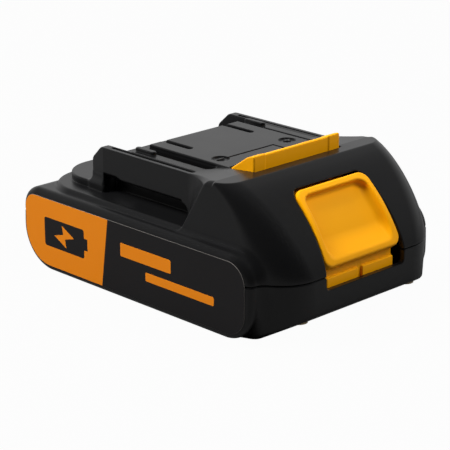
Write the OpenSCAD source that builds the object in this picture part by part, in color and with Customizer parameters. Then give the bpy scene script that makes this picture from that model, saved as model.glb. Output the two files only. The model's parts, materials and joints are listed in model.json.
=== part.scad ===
// Slide-on 18 V battery pack for power tools: five cells in a row under a rail tower, with a release latch.
// +X points to the latch end, +Z up. The origin is at the centre of the footprint, on the ground.

/* [Cells] */
// Diameter of one sleeved cell
cell_d = 18; // [17.6:0.1:19.5]
// Length of one cell over its cap
cell_l = 65; // [60:0.5:70]
// Gap between neighbouring cells
cell_gap = 0.4; // [0.3:0.1:1]
// Thickness of the series links
link_t = 0.2; // [0.1:0.05:0.4]
// Thickness of the insulating sheet over the links
sheet_t = 0.3; // [0.2:0.1:0.6]
// Thickness of the foam pad beside the sheet
pad_t = 1.6; // [1:0.1:4]

/* [Case] */
// Wall of both case halves
wall = 1.8; // [1.5:0.1:2.4]
// Clearance between the case and what it holds
case_clear = 0.15; // [0.1:0.05:0.4]
// Height of the joint between the case halves
split_z = 16.9; // [13:0.1:18]
// Reach of the latch housing in front of the cells
front_reach = 8.3; // [7.6:0.1:14]
// Width of the latch housing
front_w = 66.5; // [60:0.5:70]
// Corner radius of the latch housing, seen from above
front_r = 13; // [8:0.5:14]
// Rise of the sloped underside at the front
chin_h = 6.4; // [5:0.1:8]
// Run of the sloped underside at the front
chin_run = 11.5; // [9:0.5:14]
// Rounding of the rim around the cell bay's ends
rim_r = 1.8; // [1:0.1:2.2]
// Thickness of the side labels
label_t = 0.3; // [0.1:0.1:0.5]

/* [Rail tower] */
// Thickness of the lower deck plate
deck_t = 1.4; // [1:0.1:3]
// Thickness of the upper deck plate
step_t = 2.2; // [1:0.1:4]
// Width over the two rails
rail_w = 55; // [52:0.5:58]
// Height of the groove under each rail
groove_h = 4.4; // [3.8:0.1:5]
// Depth of the groove under each rail
groove_d = 4.5; // [4.2:0.1:5]
// Height of each rail above its groove
rail_h = 9; // [8:0.1:11]
// Length of each rail up to the hood
rail_l = 41.4; // [38:0.1:46]
// Height of the contact plateau above the rails
plateau_h = 1; // [0.5:0.1:2]
// Width of the two power contact slots
power_slot_w = 3; // [2.4:0.1:3.2]
// Distance between the two power contact slots
power_pitch = 39; // [37:0.2:39.4]
// Width of the two signal contact slots
signal_slot_w = 1.8; // [1.6:0.1:2.4]
// Distance between the two signal contact slots
signal_pitch = 24.6; // [20:0.2:26]

/* [Hood] */
// Height of the hood's brow above the plateau
brow_h = 0.7; // [0.4:0.1:2]
// Depth of the flat brow in front of the plateau
brow_d = 4.5; // [3.5:0.1:6]
// Fullness of the hood's front, where 1 is a flat slope
fullness = 1.4; // [1.2:0.05:1.7]

/* [Latch] */
// Width of the latch bar
bar_w = 34.5; // [26:0.5:36]
// Depth of the latch bar, from its ramp's toe to its locking face
bar_d = 9; // [7:0.1:11]
// Height of the latch bar above the brow
bar_h = 4.4; // [3:0.1:6]
// Width of the thumb button
button_w = 28.2; // [24:0.2:29]
// Depth of the thumb button's finger tray
tray_d = 1.8; // [1:0.1:2.4]
// Clearance around the latch
latch_clear = 0.35; // [0.3:0.05:0.6]
// Travel of the latch
latch_travel = 4.2; // [3:0.1:4.5]
// Wire of the latch springs
wire_d = 0.55; // [0.4:0.05:0.7]
// Mean diameter of the latch springs
coil_d = 4; // [3.4:0.1:4.4]
// Turns in each latch spring
coil_turns = 5; // [4:0.5:6]

/* [Electronics] */
// Thickness of the circuit board
board_t = 1.6; // [1:0.2:2]
// Height of the posts under the circuit board
post_h = 4.4; // [4:0.1:4.8]
// Thickness of the contact leaves
leaf_t = 0.5; // [0.3:0.1:0.6]

/* [Screws] */
// Thread diameter of the case screws
case_screw_d = 2.9; // [2.5:0.1:3.1]
// Thread diameter of the board screws
board_screw_d = 2.2; // [1.8:0.1:2.5]

/* [Hidden] */
$fn = 48;
round_fn = 32;
sliver = 0.01;
n_cells = 5;

// Cell row and bay
pitch = cell_d + cell_gap;
ring_t = 0.35;
ring_z = 0.8;
top_room = 1.25;
holder_l = n_cells * cell_d + (n_cells - 1) * cell_gap + 2 * ring_t;
holder_h = cell_d + 2 * ring_z;
bay_l = holder_l + 2 * (case_clear + wall);
bay_h = holder_h + case_clear + top_room + 2 * wall;
pack_l = bay_l + front_reach;
bay_x0 = -pack_l / 2;
bay_x1 = bay_x0 + bay_l;
front_x = pack_l / 2;
holder_x0 = bay_x0 + wall + case_clear;
holder_z0 = wall + case_clear;
holder_z1 = holder_z0 + holder_h;
cell_z = holder_z0 + ring_z + cell_d / 2;
cell_x = [for (i = [0 : n_cells - 1]) holder_x0 + ring_t + cell_d / 2 + i * pitch];
seat = 0.05;
stack_t = link_t + sheet_t + pad_t + 3 * seat + case_clear;
room_y = cell_l / 2 + stack_t;
case_y = room_y + wall;
cavity_r = cell_d / 2 + ring_t;
holder_d = 18;

// Bay corners as centre x, centre z and radius
rear_top_r = 6.3;
rear_low_r = 12.5;
front_top_r = 8.3;
front_low_r = 10.3;
bay_corners = [
    [bay_x0 + rear_top_r, bay_h - rear_top_r, rear_top_r],
    [bay_x0 + rear_low_r, rear_low_r, rear_low_r],
    [bay_x1 - front_top_r, bay_h - front_top_r, front_top_r],
    [bay_x1 - front_low_r, front_low_r, front_low_r],
];

// Circuit board
board_z0 = holder_z1 + post_h;
board_z1 = board_z0 + board_t;
board_head_d = board_screw_d + 2;
board_head_h = 1.3;

// Rail tower
deck_z = bay_h + deck_t;
step_z = deck_z + step_t;
groove_z = deck_z + groove_h;
rail_z = groove_z + rail_h;
plateau_z = rail_z + plateau_h;
rear_z = max(step_z + 1, board_z1 + board_head_h + wall + 0.5);
rail_y = rail_w / 2;
core_y = rail_y - groove_d;
cavity_y = core_y - wall;
rail_t = 3.3;
rail_set = 21.2;
nose_l = 5.8;
nose_run = 4.6;
nose_drop = 4.1;
foot_r = 2.2;
rear_deck_l = 15.1;
rail_x0 = bay_x0 + rail_set;
rail_x1 = rail_x0 + rail_l;
groove_x0 = rail_x0 + nose_l;
plateau_x0 = rail_x0 + rear_deck_l;
rail_bevel = 0.8;
mouth_bevel = 1.5;
mouth_l = 8;
power_y = power_pitch / 2;
slot_y1 = power_y + power_slot_w / 2;
plateau_y = power_y - power_slot_w / 2;
signal_y = signal_pitch / 2;
power_slot_x1 = rail_x1 + 2.4;
signal_slot_l = 12;
score_w = 0.8;
score_y = rail_y - 2.3;
score_x0 = groove_x0 + 2;
rib_w = 2;
rib_l = 4;
deck_margin = 3.7;
deck_r = 14;
step_margin = 4.8;
step_r = 12;
mark_depth = 0.4;
polarity_d = 5;
polarity_y = 13.4;
polarity_x = rail_x1 - 1.3;
polarity_bar = [0.7, 2.6];
seam_w = 0.4;
seam_x = rail_x1 - 1;
seam_y = [-11.3, 7.3];

// Hood
crease_set = 19.1;
crease_lean = 3.3;
brow_taper = 1.2;
brow_r = 6;
brow_z = plateau_z + brow_h;
crease_x = bay_x1 - crease_set;
brow_x1 = crease_x + brow_d;
crease_low_x = rail_x1 + crease_lean;
front_y = front_w / 2;
brow_y = front_y - brow_taper;
hood_steps = 8;

// Window and latch
window_drop = 3.9;
window_cap = 3.8;
window_flare = 1.8;
chin_x0 = front_x - chin_run;
window_z0 = split_z - window_drop;
window_z1 = brow_z - window_cap;
window_low_y = button_w / 2 + window_flare;
window_top_y = button_w / 2 + latch_clear;
pocket_z = chin_h + 0.8;
front_draft = 1.2;
bar_toe = 0.2;
bar_crown = 1.4;
lug_w = 4;
lug_step = 0.3;
bar_x1 = crease_x + 1.2;
bar_x0 = bar_x1 - bar_d;
bar_z = brow_z + bar_h;
flange_t = 2.2;
flange_z1 = rail_z - wall;
flange_y = bar_w / 2 + 2;
shelf_t = 3;
shelf_y = 12;
shelf_z1 = flange_z1 - flange_t;
shelf_z0 = shelf_z1 - shelf_t;
button_floor = 1.4;
button_t = tray_d + button_floor;
button_run = 13.8;
button_inset = 0.7;
rim_w = 2;
slope_x1 = front_x - button_inset;
slope_x0 = slope_x1 - button_run;
slope_z0 = window_z1 - latch_clear;
slope_z1 = window_z0 + latch_travel + rim_w;
slope_a = atan2(slope_z0 - slope_z1, slope_x1 - slope_x0);
slope_l = norm([slope_z0 - slope_z1, slope_x1 - slope_x0]);
pocket_x1 = front_x - wall;
skirt_x1 = pocket_x1 - latch_clear;
skirt_x0 = bay_x1 + latch_clear;
skirt_y = button_w / 2 - 1;
skirt_z0 = pocket_z + latch_travel + latch_clear;
ledge_gap = 1.6;
ledge_d = 0.8;
ledge_z1 = window_z0 + 2.4;
spring_x = (skirt_x0 + skirt_x1) / 2;
spring_y = 8;
spring_z0 = pocket_z;
spring_z1 = skirt_z0 + 3.3;
coil_room = 0.5;
peg_h = 1.5;
peg_d = coil_d - wire_d - 0.8;
coil_rings = 12;
coil_sides = 6;

// Electronics
fit = 0.1;
board_y = cavity_y - 0.5;
board_x0 = rail_x0 + wall + 1.2;
board_x1 = rail_x1 + 1.8;
post_d = 5.4;
post_set = 3.4;
post_y = board_y - post_set;
post_x = [board_x0 + post_set, board_x1 - post_set];
riser_set = 9;
block_wall = 1;
block_l = 12;
block_h = 2.4;
block_x0 = plateau_x0 + wall + 0.6;
block_x1 = block_x0 + block_l;
leaf_l = 8;
leaf_gap = 0.7;
leaf_z1 = rail_z - wall - 0.6;
chip_x = block_x1 + 5;
chip_size = [7, 7, 1];
transistor_size = [6.6, 6.1, 2.3];
resistor_size = [3.2, 6.4, 0.7];
resistor_x = board_x0 + 4;

// Small features of cells, case and latch
bead = 0.5;
cap_r = 2.8;
cap_h = 1;
paper_t = 0.3;
link_w = 8;
tab_w = 5;
thermistor_d = 1.6;
lip_t = 0.6;
lip_h = 1.1;
label_margin = 0.1;

// Screws
boss_d = 6.2;
boss_x = front_x - 4.6;
boss_y = 21.9;
head_d = case_screw_d + 2.1;
head_h = 1.8;
head_z1 = chin_h + 0.1;
case_screw_l = 14;
pilot_z1 = head_z1 + case_screw_l + 0.8;
thread_clear = 0.1;
board_screw_l = post_h - 1.4;

plastic = [0.09, 0.09, 0.10];
amber = [0.95, 0.58, 0.05];
sleeve = [0.16, 0.42, 0.62];
nickel = [0.78, 0.77, 0.72];
board_green = [0.06, 0.32, 0.16];
copper = [0.80, 0.52, 0.30];
steel = [0.62, 0.62, 0.60];

// Extrudes a side outline, drawn as x and z, to both sides of the mid plane
module along_y(width) {
    rotate([90, 0, 0]) linear_extrude(width, center = true) children();
}

// Repeats a piece on the other side of the mid plane
module both_sides() {
    children();
    mirror([0, 1, 0]) children();
}

// Extrudes a cross-section, drawn as y and z, along x
module along_x(x0, x1) {
    translate([x0, 0, 0]) rotate([90, 0, 90]) linear_extrude(x1 - x0) children();
}

// Box from its low corner to its high corner
module span(low, high) {
    translate(low) cube(high - low);
}

// Rectangle from corner to corner with one radius
module round_rect(low, high, r) {
    translate([low.x + r, low.y]) square([high.x - low.x - 2 * r, high.y - low.y]);
    translate([low.x, low.y + r]) square([high.x - low.x, high.y - low.y - 2 * r]);
    for (x = [low.x + r, high.x - r], y = [low.y + r, high.y - r]) translate([x, y]) circle(r);
}

// Rectangle from x0 to x1 about the mid plane, with both corners at its low or its high end rounded
module end_round(x0, x1, y, r, at_high) {
    square_x0 = at_high ? x0 : x0 + r;
    square_x1 = at_high ? x1 - r : x1;
    round_x = at_high ? square_x1 : square_x0;
    translate([square_x0, -y]) square([square_x1 - square_x0, 2 * y]);
    translate([x0, -y + r]) square([x1 - x0, 2 * y - 2 * r]);
    for (side = [-1, 1]) translate([round_x, side * (y - r)]) circle(r);
}

// Cell bay
module bay_slab(y, inset) {
    translate([0, y, 0]) along_y(sliver)
        for (c = bay_corners) translate([c[0], c[1]]) circle(c[2] - inset, $fn = round_fn);
}

module bay_solid() {
    hull()
        for (a = [0 : 22.5 : 90], side = [-1, 1])
            bay_slab(side * (case_y - rim_r * (1 - sin(a)) - sliver), rim_r * (1 - cos(a)));
}

module bay_cavity() {
    along_y(2 * room_y)
        round_rect([bay_x0 + wall, wall], [bay_x1 - wall, bay_h - wall], cavity_r);
}

module front_pocket() {
    translate([0, 0, pocket_z]) linear_extrude(split_z)
        intersection() {
            end_round(bay_x1 - front_r, pocket_x1, front_y - wall, front_r - wall, true);
            translate([bay_x1, -front_y]) square([front_reach, front_w]);
        }
}

// Hood over the latch, as plan sections of growing height
function hood_t(z) = max(0, min(1, (z - split_z) / (brow_z - split_z)));
function hood_front(z) = brow_x1 + (front_x - brow_x1) * pow(1 - pow(hood_t(z), fullness), 1 / fullness);
function hood_y(z) = front_y + (brow_y - front_y) * hood_t(z);
function hood_r(z) = front_r + (brow_r - front_r) * hood_t(z);
function crease_at(z) = crease_low_x + (crease_x - crease_low_x) * max(0, (z - bay_h) / (brow_z - bay_h));

module hood_section(z, x0, x1, y) {
    r = min(hood_r(z), x1 - x0 - 1);
    translate([0, 0, z - sliver]) linear_extrude(sliver)
        for (side = [-1, 1]) {
            translate([x1 - r, side * (y - r)]) circle(r, $fn = round_fn);
            translate([x0, side * y - (side > 0 ? sliver : 0)]) square(sliver);
        }
}

// Latch housing of the lower case, drawn in towards the bottom, with its sloped chin
module front_block() {
    x0 = bay_x1 - 2 * front_r;
    difference() {
        hull() {
            hood_section(split_z + sliver, x0, front_x, front_y);
            hood_section(sliver, x0, front_x, front_y - front_draft);
        }
        along_y(2 * case_y) polygon([
            [chin_x0, 0], [chin_x0, -1], [front_x + 1, -1],
            [front_x + 1, chin_h + chin_h / chin_run], [front_x, chin_h],
        ]);
    }
}

module hood_solid() {
    hull() {
        for (i = [0 : hood_steps]) {
            z = split_z + (brow_z - split_z) * sin(90 * i / hood_steps);
            hood_section(z, crease_at(z), hood_front(z), hood_y(z));
        }
        span([rail_x1, -rail_y, split_z], [rail_x1 + sliver, rail_y, rail_z]);
    }
}

module hood_cavity() {
    drop = wall * sin(45);
    hull() {
        for (i = [0 : hood_steps]) {
            z = split_z - sliver + (brow_z - wall - split_z) * sin(90 * i / hood_steps);
            x1 = min(front_x - wall, hood_front(z + drop) - drop);
            hood_section(z, crease_at(z) + wall, x1, hood_y(z) - wall);
        }
        span([rail_x1 + wall, -cavity_y, split_z], [rail_x1 + wall + sliver, cavity_y, rail_z - wall]);
    }
}

// Opening in front of the thumb button, through both case halves
module window(x0) {
    along_x(x0, pack_l) polygon([
        [-window_low_y, window_z0], [window_low_y, window_z0], [window_low_y, split_z],
        [window_top_y, window_z1], [-window_top_y, window_z1], [-window_low_y, split_z],
    ]);
}

// Tongue along the joint between the case halves
module lip(clear) {
    y = room_y + wall / 2;
    x = bay_x0 + wall / 2;
    both_sides()
        span([bay_x0 + rear_low_r, y - lip_t / 2 - clear, split_z - lip_h - clear],
             [bay_x1 - front_low_r, y + lip_t / 2 + clear, split_z + lip_t]);
    span([x - lip_t / 2 - clear, -room_y + rear_low_r, split_z - lip_h - clear],
         [x + lip_t / 2 + clear, room_y - rear_low_r, split_z + lip_t]);
}

module lower_case() {
    color(plastic)
    difference() {
        union() {
            difference() {
                intersection() {
                    union() {
                        bay_solid();
                        front_block();
                    }
                    span([-pack_l, -pack_l, 0], [pack_l, pack_l, split_z]);
                }
                front_pocket();
            }
            both_sides() {
                translate([boss_x, boss_y, pocket_z - 1]) cylinder(split_z - pocket_z + 1, d = boss_d);
                translate([spring_x, spring_y, pocket_z - 1]) cylinder(peg_h + 1, d = peg_d);
            }
        }
        bay_cavity();
        window(bay_x1);
        lip(case_clear / 2);
        both_sides() translate([boss_x, boss_y, 0]) {
            cylinder(split_z + 1, d = case_screw_d + 2 * thread_clear);
            cylinder(head_z1, d = head_d + 0.6);
        }
    }
}

// One rail: its run beside the tower with the lower edge bevelled, and its chamfered nose
module rail_run(x0, bevel) {
    inner_y = rail_y - rail_t;
    along_x(x0, rail_x1 + wall) polygon([
        [core_y - 1, groove_z], [rail_y - bevel, groove_z], [rail_y, groove_z + bevel], [rail_y, rail_z],
        [inner_y, rail_z], [inner_y, rear_z], [core_y - 1, rear_z],
    ]);
}

module rail() {
    joint_z = groove_z + mouth_bevel;
    rail_run(groove_x0, mouth_bevel);
    rail_run(groove_x0 + mouth_l, rail_bevel);
    translate([0, rail_y - rail_t / 2, 0]) along_y(rail_t) polygon([
        [rail_x0, bay_h], [rail_x0, rail_z - nose_drop], [rail_x0 + nose_run, rail_z],
        [groove_x0 + 1, rail_z], [groove_x0 + 1, joint_z], [groove_x0, joint_z], [groove_x0, bay_h],
    ]);
}

// Rounded rib beside each power slot, behind the plateau
module rib() {
    translate([plateau_x0 - rib_l + rib_w / 2, slot_y1 + rib_w / 2, rear_z - 1]) {
        cylinder(rail_z - rear_z + 1, d = rib_w);
        translate([0, -rib_w / 2, 0]) cube([rib_l, rib_w, rail_z - rear_z + 1]);
    }
}

// Concave foot where the tower's rear wall meets the upper deck plate
module foot() {
    along_y(rail_w) difference() {
        translate([rail_x0 - foot_r, step_z - 1]) square([foot_r + 1, foot_r + 1]);
        translate([rail_x0 - foot_r + fit, step_z + foot_r - fit]) circle(foot_r);
    }
}

module tower() {
    translate([0, 0, bay_h / 2]) linear_extrude(deck_z - bay_h / 2)
        end_round(bay_x0 + deck_margin, crease_low_x + 1, front_y, deck_r, false);
    translate([0, 0, bay_h / 2]) linear_extrude(step_z - bay_h / 2)
        end_round(bay_x0 + step_margin, groove_x0, rail_y, step_r, false);
    span([rail_x0, -core_y, bay_h / 2], [rail_x1 + wall, core_y, rear_z]);
    span([rail_x0, -rail_y + rail_t / 2, bay_h / 2], [groove_x0, rail_y - rail_t / 2, rear_z]);
    span([plateau_x0, -rail_y + rail_t - 1, rear_z - 1], [rail_x1 + wall, rail_y - rail_t + 1, rail_z]);
    span([plateau_x0, -plateau_y, rail_z - 1], [crease_x, plateau_y, plateau_z]);
    foot();
    both_sides() {
        rail();
        rib();
    }
}

module tower_cavity() {
    span([rail_x0 + wall, -cavity_y, bay_h - 2 * wall], [crease_x - wall, cavity_y, rear_z - wall]);
    span([plateau_x0 + wall, -cavity_y, rear_z - 2 * wall], [crease_x - wall, cavity_y, rail_z - wall]);
}

module contact_slots() {
    both_sides() {
        span([plateau_x0 - 1, plateau_y, rear_z], [power_slot_x1, slot_y1, brow_z]);
        span([plateau_x0 - 1, signal_y - signal_slot_w / 2, rear_z],
             [plateau_x0 + signal_slot_l, signal_y + signal_slot_w / 2, brow_z]);
        span([score_x0, score_y - score_w / 2, rail_z - score_w],
             [rail_x1 + score_w, score_y + score_w / 2, brow_z]);
    }
}

// Sunk disc that leaves a raised minus or plus sign
module polarity_mark(y, plus) {
    translate([polarity_x, y, plateau_z - mark_depth]) linear_extrude(plateau_h) difference() {
        circle(d = polarity_d);
        square(polarity_bar, center = true);
        if (plus) square([polarity_bar.y, polarity_bar.x], center = true);
    }
}

// Sunk line on the plateau around the latch bar
module seam() {
    span([seam_x, seam_y[0], plateau_z - seam_w], [seam_x + seam_w, seam_y[1], brow_z]);
    span([seam_x, seam_y[1] - seam_w, plateau_z - seam_w], [bar_x0, seam_y[1], brow_z]);
}

module upper_case() {
    color(plastic)
    difference() {
        union() {
            difference() {
                hood_solid();
                hood_cavity();
                window(brow_x1);
                span([bar_x0 - latch_clear, -bar_w / 2 - latch_clear, split_z],
                     [bar_x1 + latch_clear, bar_w / 2 + latch_clear, bar_z]);
            }
            intersection() {
                bay_solid();
                span([-pack_l, -pack_l, split_z], [pack_l, pack_l, bay_h]);
            }
            difference() {
                tower();
                span([bar_x0 - latch_clear, -bar_w / 2 - latch_clear, split_z],
                     [bar_x1 + latch_clear, bar_w / 2 + latch_clear, bar_z]);
            }
            lip(0);
            intersection() {
                hood_solid();
                both_sides() translate([boss_x, boss_y, split_z]) cylinder(brow_z, d = boss_d);
            }
        }
        bay_cavity();
        tower_cavity();
        contact_slots();
        polarity_mark(-polarity_y, false);
        polarity_mark(polarity_y, true);
        seam();
        both_sides() translate([boss_x, boss_y, split_z - 1])
            cylinder(pilot_z1 - split_z + 1, d = case_screw_d + 2 * thread_clear);
    }
}

// Release latch: locking bar, carrier and thumb button in one moulding
function slope_at(x) = slope_z0 - (x - slope_x0) * tan(slope_a);

module latch_bar() {
    toe_z = plateau_z - bar_toe;
    face_x = bar_x1 - lug_step;
    crown_z = bar_z - lug_step;
    along_y(bar_w) polygon([
        [bar_x0, shelf_z0], [bar_x0, toe_z], [face_x - bar_crown, crown_z],
        [face_x, crown_z], [face_x, shelf_z0],
    ]);
    both_sides()
        translate([0, bar_w / 2 - lug_w / 2, 0]) along_y(lug_w) polygon([
            [bar_x0, flange_z1], [bar_x0, toe_z], [bar_x1 - bar_crown, bar_z],
            [bar_x1, bar_z], [bar_x1, flange_z1],
        ]);
    span([bar_x0, -flange_y, flange_z1 - flange_t], [face_x, flange_y, flange_z1]);
}

module button_plate() {
    translate([slope_x0, 0, slope_z0]) rotate([0, slope_a, 0])
        difference() {
            span([0, -button_w / 2, -button_t], [slope_l, button_w / 2, 0]);
            translate([0, 0, -tray_d]) linear_extrude(button_t)
                round_rect([rim_w, rim_w - button_w / 2], [slope_l - rim_w, button_w / 2 - rim_w], rim_w);
        }
}

module button_skirt() {
    difference() {
        along_y(2 * skirt_y) polygon([
            [skirt_x0, skirt_z0], [skirt_x1, skirt_z0],
            [skirt_x1, slope_at(skirt_x1) - tray_d - 1], [skirt_x0, slope_at(skirt_x0) - tray_d - 1],
        ]);
        span([skirt_x0 - 1, rim_w - skirt_y, spring_z1 + rim_w],
             [skirt_x1 - rim_w, skirt_y - rim_w, slope_z0]);
        span([skirt_x1 - ledge_d, -ledge_gap / 2, skirt_z0 - 1], [front_x, ledge_gap / 2, ledge_z1 + 1]);
        span([skirt_x1 - ledge_d, -button_w / 2, ledge_z1], [front_x, button_w / 2, slope_z0]);
        both_sides() translate([spring_x, spring_y, skirt_z0 - 1])
            cylinder(spring_z1 - skirt_z0 + 1, d = coil_d + wire_d + 2 * coil_room);
    }
    both_sides() translate([spring_x, spring_y, spring_z1 - peg_h]) cylinder(peg_h + 1, d = peg_d);
}

module release_latch() {
    shelf_x1 = slope_x0 + (slope_z0 - shelf_z1) / tan(slope_a) - (tray_d + latch_clear) / sin(slope_a);
    color(amber) {
        latch_bar();
        span([bar_x1 - shelf_t, -shelf_y, shelf_z0], [shelf_x1, shelf_y, shelf_z1]);
        button_plate();
        button_skirt();
    }
}

// Coil spring as one tube, wound from its seat upwards
module latch_spring(y) {
    steps = round(coil_turns * coil_rings);
    low = spring_z0 + seat + wire_d / 2;
    rise = spring_z1 - spring_z0 - 2 * seat - wire_d;
    ring = [for (k = [0 : steps], j = [0 : coil_sides - 1])
        let (a = k * 360 / coil_rings, b = j * 360 / coil_sides, r = coil_d / 2 + wire_d / 2 * cos(b))
        [r * cos(a), r * sin(a), low + rise * k / steps + wire_d / 2 * sin(b)]];
    side = [for (k = [0 : steps - 1], j = [0 : coil_sides - 1], half = [0, 1])
        let (a = k * coil_sides + j, b = k * coil_sides + (j + 1) % coil_sides)
        half == 0 ? [a, b, a + coil_sides] : [b, b + coil_sides, a + coil_sides]];
    caps = [for (j = [1 : coil_sides - 2], last = [0, 1])
        let (o = last * steps * coil_sides)
        last == 0 ? [o, o + j + 1, o + j] : [o, o + j, o + j + 1]];
    color(steel) translate([spring_x, y, 0]) polyhedron(ring, concat(side, caps));
}

// Cells and what joins them
module cell(i) {
    r = cell_d / 2;
    color(sleeve) translate([cell_x[i], 0, cell_z]) rotate([i % 2 == 0 ? 90 : -90, 0, 0])
        translate([0, 0, -cell_l / 2]) rotate_extrude() polygon([
            [0, 0], [r - bead, 0], [r, bead], [r, cell_l - 8 * bead], [r - bead, cell_l - 7 * bead],
            [r, cell_l - 6 * bead], [r, cell_l - 3 * bead], [r - bead, cell_l - cap_h],
            [cap_r, cell_l - cap_h], [cap_r, cell_l], [0, cell_l],
        ]);
}

module cell_rings() {
    color("white")
        for (i = [0 : n_cells - 1])
            translate([cell_x[i], 0, cell_z]) rotate([i % 2 == 0 ? 90 : -90, 0, 0])
                translate([0, 0, cell_l / 2 - cap_h]) difference() {
                    cylinder(paper_t, r = cell_d / 2 - 2 * bead);
                    translate([0, 0, -1]) cylinder(paper_t + 2, r = cap_r + bead);
                }
}

module holder_outline(inset) {
    round_rect([holder_x0 + inset, holder_z0 + inset],
               [holder_x0 + holder_l - inset, holder_z1 - inset], cavity_r - case_clear - inset);
}

// Holder on the side of positive y, with posts for the circuit board
module cell_holder() {
    color("dimgray")
    difference() {
        union() {
            translate([0, cell_l / 2 - holder_d / 2, 0]) along_y(holder_d) holder_outline(0);
            for (x = post_x) translate([x, post_y, holder_z1 - 1]) cylinder(post_h + 1, d = post_d);
        }
        for (x = cell_x) translate([x, cell_l / 2 + 1, cell_z]) rotate([90, 0, 0])
            cylinder(holder_d + 2, d = cell_d + 2 * fit);
        for (x = post_x) translate([x, post_y, board_z0 - board_screw_l - 0.6])
            cylinder(board_screw_l + 1, d = board_screw_d + 2 * thread_clear);
    }
}

// Link between two neighbouring cells on one side
module link(i, side) {
    color(nickel) translate([0, side * (cell_l / 2 + link_t / 2), 0]) along_y(link_t)
        round_rect([cell_x[i] - link_w / 2, cell_z - link_w / 2],
                   [cell_x[i + 1] + link_w / 2, cell_z + link_w / 2], link_w / 4);
}

// Strip from one end cell over the holder and up to the board's edge at riser_x
module end_tab(i, side, riser_x) {
    y0 = cell_l / 2;
    y1 = board_y - tab_w / 2;
    z0 = holder_z1 + seat;
    low_x = min(cell_x[i], riser_x);
    high_x = max(cell_x[i], riser_x);
    color(nickel) mirror([0, side < 0 ? 1 : 0, 0]) {
        span([cell_x[i] - tab_w / 2, y0, cell_z - tab_w / 2],
             [cell_x[i] + tab_w / 2, y0 + link_t, z0 + link_t]);
        span([cell_x[i] - tab_w / 2, y1 + tab_w, z0], [cell_x[i] + tab_w / 2, y0 + link_t, z0 + link_t]);
        span([low_x - tab_w / 2, y1 + tab_w, z0], [high_x + tab_w / 2, y1 + 2 * tab_w, z0 + link_t]);
        span([riser_x - tab_w / 2, y1, z0], [riser_x + tab_w / 2, y1 + 2 * tab_w, z0 + link_t]);
        span([riser_x - tab_w / 2, y1, z0], [riser_x + tab_w / 2, y1 + link_t, board_z0 - seat]);
    }
}

module insulator(side) {
    color("oldlace") translate([0, side * (cell_l / 2 + link_t + seat + sheet_t / 2), 0])
        along_y(sheet_t) holder_outline(1);
}

module foam_pad(side) {
    margin = cell_d / 4;
    color("slategray") translate([0, side * (cell_l / 2 + link_t + sheet_t + 2 * seat + pad_t / 2), 0])
        along_y(pad_t) holder_outline(margin);
}

// Electronics
module circuit_board() {
    color(board_green)
    difference() {
        span([board_x0, -board_y, board_z0], [board_x1, board_y, board_z1]);
        both_sides() for (x = post_x) translate([x, post_y, board_z0 - 1])
            cylinder(board_t + 2, d = board_screw_d + 2 * thread_clear);
    }
}

function contact_w() = 2 * leaf_t + leaf_gap;

module terminal_block() {
    color(plastic)
    difference() {
        span([block_x0, -board_y, board_z1], [block_x1, board_y, board_z1 + block_h]);
        both_sides() for (y = [power_y, signal_y])
            translate([block_x0 + block_wall, y - contact_w() / 2 - fit, board_z1 - 1])
                cube([leaf_l + 2 * fit, contact_w() + 2 * fit, block_h + 2]);
    }
}

// Forked contact, standing on the board inside the terminal block
module contact(y) {
    color(copper) translate([block_x0 + block_wall + fit, y, board_z1]) {
        span([0, -contact_w() / 2, 0], [leaf_l, contact_w() / 2, leaf_t]);
        for (side = [-1, 1])
            translate([0, side * (leaf_gap + leaf_t) / 2 - leaf_t / 2, 0])
                cube([leaf_l, leaf_t, leaf_z1 - board_z1]);
    }
}

// Flat component on top of the board, given by its centre and size
module on_board(x, y, size) {
    translate([x - size.x / 2, y - size.y / 2, board_z1]) cube(size);
}

module controller_chip() {
    color("black") on_board(chip_x, 0, chip_size);
}

module power_transistor(y) {
    color("black") on_board(chip_x, y, transistor_size);
}

module sense_resistor() {
    color("black") on_board(resistor_x, 0, resistor_size);
}

module thermistor() {
    color("saddlebrown") translate([cell_x[2], 0, cell_z + cell_d / 2 + seat + thermistor_d / 2])
        rotate([90, 0, 0]) cylinder(2 * thermistor_d, d = thermistor_d, center = true);
}

module board_screws() {
    color(steel) both_sides() for (x = post_x) translate([x, post_y, board_z1]) {
        cylinder(board_head_h, d = board_head_d);
        translate([0, 0, -board_t - board_screw_l]) cylinder(board_t + board_screw_l + 1, d = board_screw_d);
    }
}

module case_screws() {
    color(steel) both_sides() translate([boss_x, boss_y, head_z1 - head_h])
        difference() {
            union() {
                cylinder(head_h, d = head_d);
                cylinder(head_h + case_screw_l, d = case_screw_d);
            }
            translate([0, 0, -1]) cylinder(head_h, d = case_screw_d - 0.6, $fn = 6);
        }
}

module side_label(side) {
    color("darkorange") translate([0, side * (case_y + label_t / 2), 0]) along_y(label_t)
        hull() for (c = bay_corners)
            translate([c[0], c[1]]) circle(c[2] - rim_r - label_margin, $fn = round_fn);
}

lower_case();
upper_case();
release_latch();
latch_spring(-spring_y);  // latch_spring_left
latch_spring(spring_y);  // latch_spring_right
cell(0);  // cell_1
cell(1);  // cell_2
cell(2);  // cell_3
cell(3);  // cell_4
cell(4);  // cell_5
cell_rings();
mirror([0, 1, 0]) cell_holder();  // cell_holder_left
cell_holder();  // cell_holder_right
end_tab(0, 1, board_x0 + riser_set);  // negative_tab
link(0, -1);  // link_1_2
link(1, 1);  // link_2_3
link(2, -1);  // link_3_4
link(3, 1);  // link_4_5
end_tab(4, -1, board_x1 - riser_set);  // positive_tab
insulator(-1);  // insulator_left
insulator(1);  // insulator_right
foam_pad(-1);  // foam_pad_left
foam_pad(1);  // foam_pad_right
circuit_board();
terminal_block();
contact(-power_y);  // contact_negative
contact(-signal_y);  // contact_data
contact(signal_y);  // contact_temperature
contact(power_y);  // contact_positive
controller_chip();
power_transistor(-signal_y);  // power_transistor_left
power_transistor(signal_y);  // power_transistor_right
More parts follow.
